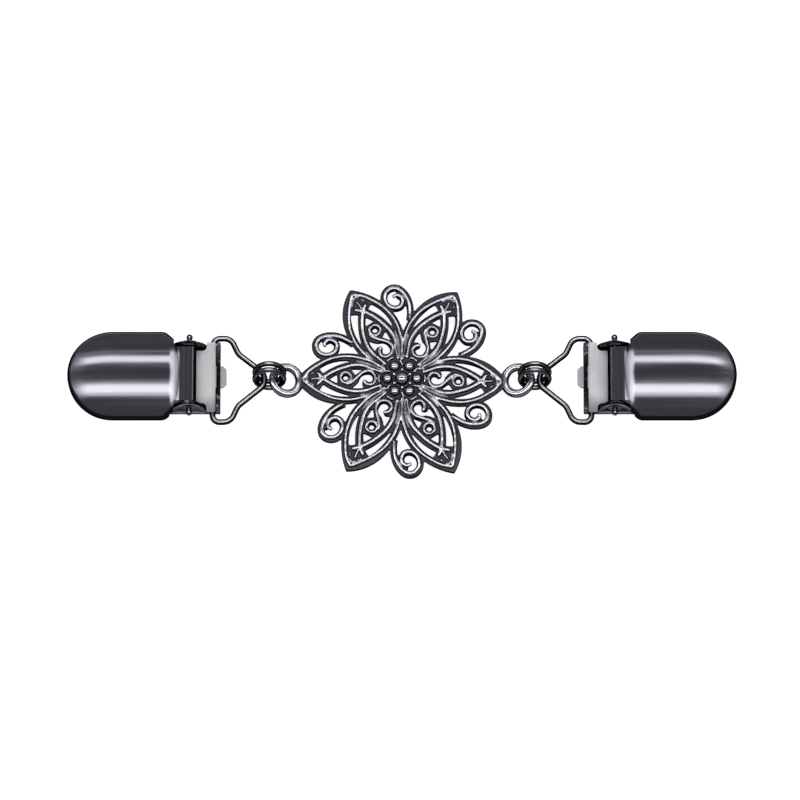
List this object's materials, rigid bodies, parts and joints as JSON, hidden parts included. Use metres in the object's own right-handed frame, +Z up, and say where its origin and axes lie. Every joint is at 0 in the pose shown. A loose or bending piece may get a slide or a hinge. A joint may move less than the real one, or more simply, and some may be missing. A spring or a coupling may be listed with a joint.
{
  "type": "sweater clip",
  "caption": "Sweater clip: a pierced cast metal flower between two wire loops, each holding a hinged clip with a domed cover and toothed jaws.",
  "frame": {"origin": "on the supporting plane, under the centre of the flower", "axes": "+X along the length, towards the right clip; +Y across; +Z up, out of the flower's face"},
  "size_m": [0.1334, 0.04, 0.0074],
  "materials": {
    "cast_gunmetal": "antique gunmetal plating on cast metal",
    "polished_gunmetal": "polished black nickel plating",
    "dark_plate": "black nickel plating",
    "bright_steel": "bright nickel plating, satin",
    "dark_wire": "polished black nickel plating"
  },
  "bodies": {
    "root": {"flower": "cast_gunmetal", "left_loop": "dark_wire", "left_jump_ring_upper": "dark_wire", "left_jump_ring_lower": "dark_wire", "right_loop": "dark_wire", "right_jump_ring_upper": "dark_wire", "right_jump_ring_lower": "dark_wire"},
    "left_clip": {"left_base": "dark_plate", "left_pin": "dark_plate"},
    "left_lever": {"left_cover": "polished_gunmetal"},
    "left_presser": {"left_jaw": "bright_steel"},
    "right_clip": {"right_base": "dark_plate", "right_pin": "dark_plate"},
    "right_lever": {"right_cover": "polished_gunmetal"},
    "right_presser": {"right_jaw": "bright_steel"}
  },
  "joints": [
    {"name": "left_clip_swing", "type": "hinge", "parent": "root", "child": "left_clip", "pos_m": [-0.0378, 0, 0.0015], "axis": [0, 1, 0], "range_deg": [-50, 50]},
    {"name": "left_cover_open", "type": "hinge", "parent": "left_clip", "child": "left_lever", "pos_m": [-0.0424, 0, 0.0045], "axis": [0, 1, 0], "range_deg": [0, 95]},
    {"name": "left_jaw_open", "type": "hinge", "parent": "left_clip", "child": "left_presser", "pos_m": [-0.03665, 0, 0.00255], "axis": [0, 1, 0], "range_deg": [0, 6.8]},
    {"name": "right_clip_swing", "type": "hinge", "parent": "root", "child": "right_clip", "pos_m": [0.0378, 0, 0.0015], "axis": [0, -1, 0], "range_deg": [-50, 50]},
    {"name": "right_cover_open", "type": "hinge", "parent": "right_clip", "child": "right_lever", "pos_m": [0.0424, 0, 0.0045], "axis": [0, -1, 0], "range_deg": [0, 95]},
    {"name": "right_jaw_open", "type": "hinge", "parent": "right_clip", "child": "right_presser", "pos_m": [0.03665, 0, 0.00255], "axis": [0, -1, 0], "range_deg": [0, 6.8]}
  ],
  "couplings": [
    {"joint": "left_jaw_open", "follows": "left_cover_open", "ratio": 0.0714},
    {"joint": "right_jaw_open", "follows": "right_cover_open", "ratio": 0.0714}
  ]
}
